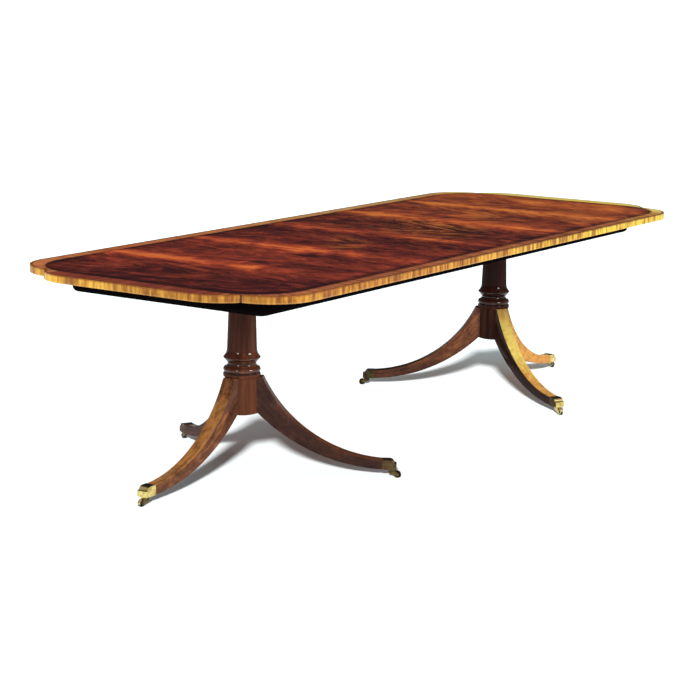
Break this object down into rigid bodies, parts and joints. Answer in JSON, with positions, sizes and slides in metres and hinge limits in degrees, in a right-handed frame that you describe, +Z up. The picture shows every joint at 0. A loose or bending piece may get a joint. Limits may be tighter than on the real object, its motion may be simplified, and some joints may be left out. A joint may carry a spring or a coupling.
{
  "type": "double pedestal dining table",
  "caption": "Long extending dining table with a banded figured top, loose leaves and turned pedestals on splayed sabre legs with brass caps and casters.",
  "frame": {"origin": "on the floor under the middle of the extended top", "axes": "+X along the length of the table, +Y across it towards the back, +Z up"},
  "size_m": [3.048, 1.143, 0.756],
  "materials": {
    "figured_mahogany": "figured veneer, French polished to a high gloss",
    "edge_satinwood": "cross-grained satinwood edge, polished",
    "band_satinwood": "cross-grained satinwood banding, polished",
    "ebony_line": "dark inlaid line, polished",
    "skirt_mahogany": "dark stained, satin",
    "turned_mahogany": "dark polished turning",
    "leg_mahogany": "polished, rubbed lighter on the edges",
    "block_mahogany": "plain satin",
    "runner_beech": "bare, waxed on the sliding faces",
    "peg_beech": "bare turned dowel",
    "brass": "lacquered cast brass, darkened in the corners",
    "steel": "plain lag bolts",
    "iron": "black plate"
  },
  "bodies": {
    "left_half": {"left_back_leg": "leg_mahogany", "left_column": "turned_mahogany", "left_crossband": "band_satinwood", "left_edge_lipping": "edge_satinwood", "left_end_leg": "leg_mahogany", "left_end_skirt": "skirt_mahogany", "left_front_leg": "leg_mahogany", "left_hub_plate": "iron", "left_mounting_block": "block_mahogany", "left_mounting_bolts": "steel", "left_runners": "runner_beech", "left_side_skirts": "skirt_mahogany", "left_stringing": "ebony_line", "left_toe_caps": "brass", "left_top_panel": "figured_mahogany"},
    "right_half": {"right_back_leg": "leg_mahogany", "right_column": "turned_mahogany", "right_crossband": "band_satinwood", "right_edge_lipping": "edge_satinwood", "right_end_leg": "leg_mahogany", "right_end_skirt": "skirt_mahogany", "right_front_leg": "leg_mahogany", "right_hub_plate": "iron", "right_mounting_block": "block_mahogany", "right_mounting_bolts": "steel", "right_runners": "runner_beech", "right_side_skirts": "skirt_mahogany", "right_stringing": "ebony_line", "right_toe_caps": "brass", "right_top_panel": "figured_mahogany"},
    "left_leaf": {"left_leaf_crossband": "band_satinwood", "left_leaf_lipping": "edge_satinwood", "left_leaf_panel": "figured_mahogany", "left_leaf_pegs": "peg_beech", "left_leaf_skirts": "skirt_mahogany", "left_leaf_stringing": "ebony_line"},
    "right_leaf": {"right_leaf_crossband": "band_satinwood", "right_leaf_lipping": "edge_satinwood", "right_leaf_panel": "figured_mahogany", "right_leaf_pegs": "peg_beech", "right_leaf_skirts": "skirt_mahogany", "right_leaf_stringing": "ebony_line"},
    "left_end_swivel": {"left_end_caster_fork": "brass", "left_end_caster_axle": "brass"},
    "left_end_wheel": {"left_end_caster_wheel": "brass"},
    "left_back_swivel": {"left_back_caster_fork": "brass", "left_back_caster_axle": "brass"},
    "left_back_wheel": {"left_back_caster_wheel": "brass"},
    "left_front_swivel": {"left_front_caster_fork": "brass", "left_front_caster_axle": "brass"},
    "left_front_wheel": {"left_front_caster_wheel": "brass"},
    "right_end_swivel": {"right_end_caster_fork": "brass", "right_end_caster_axle": "brass"},
    "right_end_wheel": {"right_end_caster_wheel": "brass"},
    "right_back_swivel": {"right_back_caster_fork": "brass", "right_back_caster_axle": "brass"},
    "right_back_wheel": {"right_back_caster_wheel": "brass"},
    "right_front_swivel": {"right_front_caster_fork": "brass", "right_front_caster_axle": "brass"},
    "right_front_wheel": {"right_front_caster_wheel": "brass"}
  },
  "joints": [
    {"name": "right_half_slide", "type": "slide", "parent": "left_half", "child": "right_half", "axis": [1, 0, 0], "range_m": [0, 0.1]},
    {"name": "left_leaf_lift", "type": "slide", "parent": "left_half", "child": "left_leaf", "axis": [0, 0, 1], "range_m": [0, 0.25]},
    {"name": "right_leaf_lift", "type": "slide", "parent": "right_half", "child": "right_leaf", "axis": [0, 0, 1], "range_m": [0, 0.25]},
    {"name": "left_end_caster_swivel", "type": "hinge", "parent": "left_half", "child": "left_end_swivel", "pos_m": [-1.417, 0, 0.0292], "axis": [0, 0, 1], "continuous": true},
    {"name": "left_end_wheel_spin", "type": "hinge", "parent": "left_end_swivel", "child": "left_end_wheel", "pos_m": [-1.441, 0, 0.0125], "axis": [0, -1, 0], "continuous": true},
    {"name": "left_back_caster_swivel", "type": "hinge", "parent": "left_half", "child": "left_back_swivel", "pos_m": [-0.6235, 0.45813, 0.0292], "axis": [0, 0, 1], "continuous": true},
    {"name": "left_back_wheel_spin", "type": "hinge", "parent": "left_back_swivel", "child": "left_back_wheel", "pos_m": [-0.6115, 0.47891, 0.0125], "axis": [-0.866, 0.5, 0], "continuous": true},
    {"name": "left_front_caster_swivel", "type": "hinge", "parent": "left_half", "child": "left_front_swivel", "pos_m": [-0.6235, -0.45813, 0.0292], "axis": [0, 0, 1], "continuous": true},
    {"name": "left_front_wheel_spin", "type": "hinge", "parent": "left_front_swivel", "child": "left_front_wheel", "pos_m": [-0.6115, -0.47891, 0.0125], "axis": [0.866, 0.5, 0], "continuous": true},
    {"name": "right_end_caster_swivel", "type": "hinge", "parent": "right_half", "child": "right_end_swivel", "pos_m": [1.417, 0, 0.0292], "axis": [0, 0, 1], "continuous": true},
    {"name": "right_end_wheel_spin", "type": "hinge", "parent": "right_end_swivel", "child": "right_end_wheel", "pos_m": [1.441, 0, 0.0125], "axis": [0, 1, 0], "continuous": true},
    {"name": "right_back_caster_swivel", "type": "hinge", "parent": "right_half", "child": "right_back_swivel", "pos_m": [0.6235, 0.45813, 0.0292], "axis": [0, 0, 1], "continuous": true},
    {"name": "right_back_wheel_spin", "type": "hinge", "parent": "right_back_swivel", "child": "right_back_wheel", "pos_m": [0.6115, 0.47891, 0.0125], "axis": [-0.866, -0.5, 0], "continuous": true},
    {"name": "right_front_caster_swivel", "type": "hinge", "parent": "right_half", "child": "right_front_swivel", "pos_m": [0.6235, -0.45813, 0.0292], "axis": [0, 0, 1], "continuous": true},
    {"name": "right_front_wheel_spin", "type": "hinge", "parent": "right_front_swivel", "child": "right_front_wheel", "pos_m": [0.6115, -0.47891, 0.0125], "axis": [0.866, -0.5, 0], "continuous": true}
  ]
}
